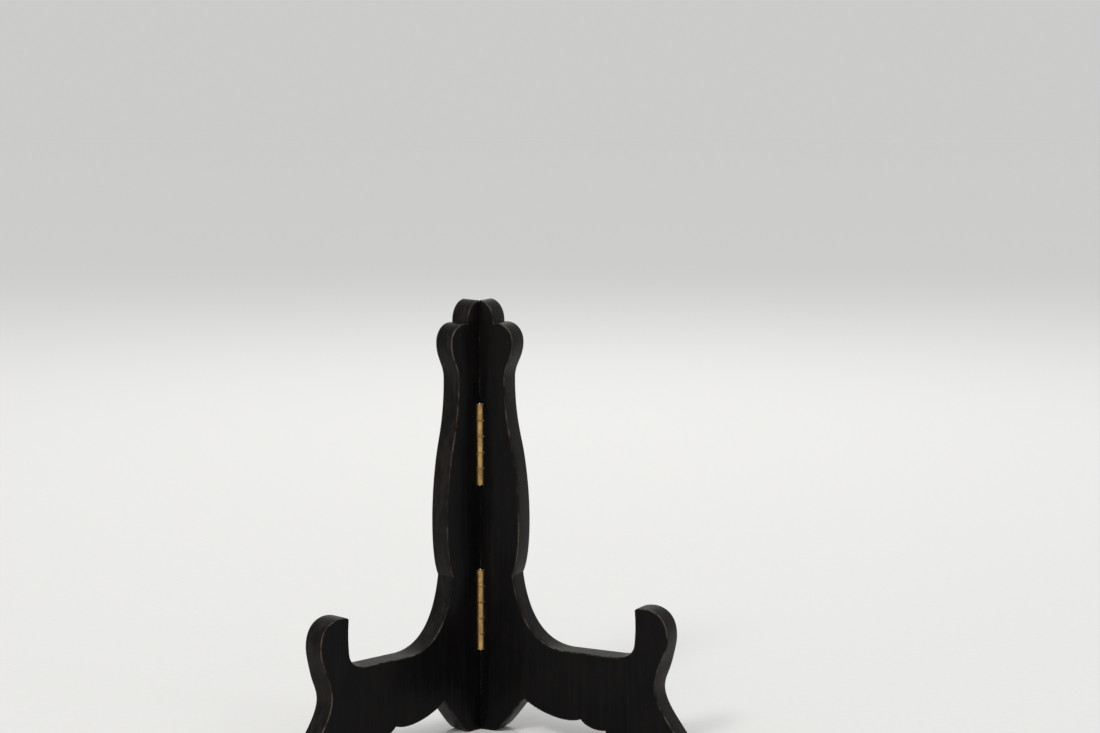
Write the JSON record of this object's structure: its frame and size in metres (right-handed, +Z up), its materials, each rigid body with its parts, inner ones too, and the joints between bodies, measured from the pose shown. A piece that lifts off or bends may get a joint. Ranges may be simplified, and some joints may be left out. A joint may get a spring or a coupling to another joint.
{
  "type": "folding plate display stand",
  "caption": "Folding plate stand: mirrored lacquered boards hinged at the back, with prongs and seats for a plate's rim, scalloped feet and tall uprights.",
  "frame": {"origin": "on the table under the middle of the open stand's bounding box", "axes": "+Z up; the V of the two boards opens towards -Y, where the plate is seen from; +X to the viewer's right; the hinge line is parallel to Z at x = 0, y = 0.0271 m"},
  "size_m": [0.1836, 0.0718, 0.205],
  "materials": {
    "lacquered_wood": "black-brown lacquer, semi-gloss, edges rubbed lighter",
    "brass": "aged satin"
  },
  "bodies": {
    "left_half": {"left_panel": "lacquered_wood", "lower_hinge_left_leaf": "brass", "lower_hinge_left_screw_1": "brass", "lower_hinge_left_screw_2": "brass", "lower_hinge_left_screw_3": "brass", "lower_hinge_pin": "brass", "upper_hinge_left_leaf": "brass", "upper_hinge_left_screw_1": "brass", "upper_hinge_left_screw_2": "brass", "upper_hinge_left_screw_3": "brass", "upper_hinge_pin": "brass"},
    "right_half": {"lower_hinge_right_leaf": "brass", "lower_hinge_right_screw_1": "brass", "lower_hinge_right_screw_2": "brass", "lower_hinge_right_screw_3": "brass", "right_panel": "lacquered_wood", "upper_hinge_right_leaf": "brass", "upper_hinge_right_screw_1": "brass", "upper_hinge_right_screw_2": "brass", "upper_hinge_right_screw_3": "brass"}
  },
  "joints": [
    {"name": "fold", "type": "hinge", "parent": "left_half", "child": "right_half", "pos_m": [0, 0.02708, 0.098], "axis": [0, 0, 1], "range_deg": [-107, 73]}
  ]
}
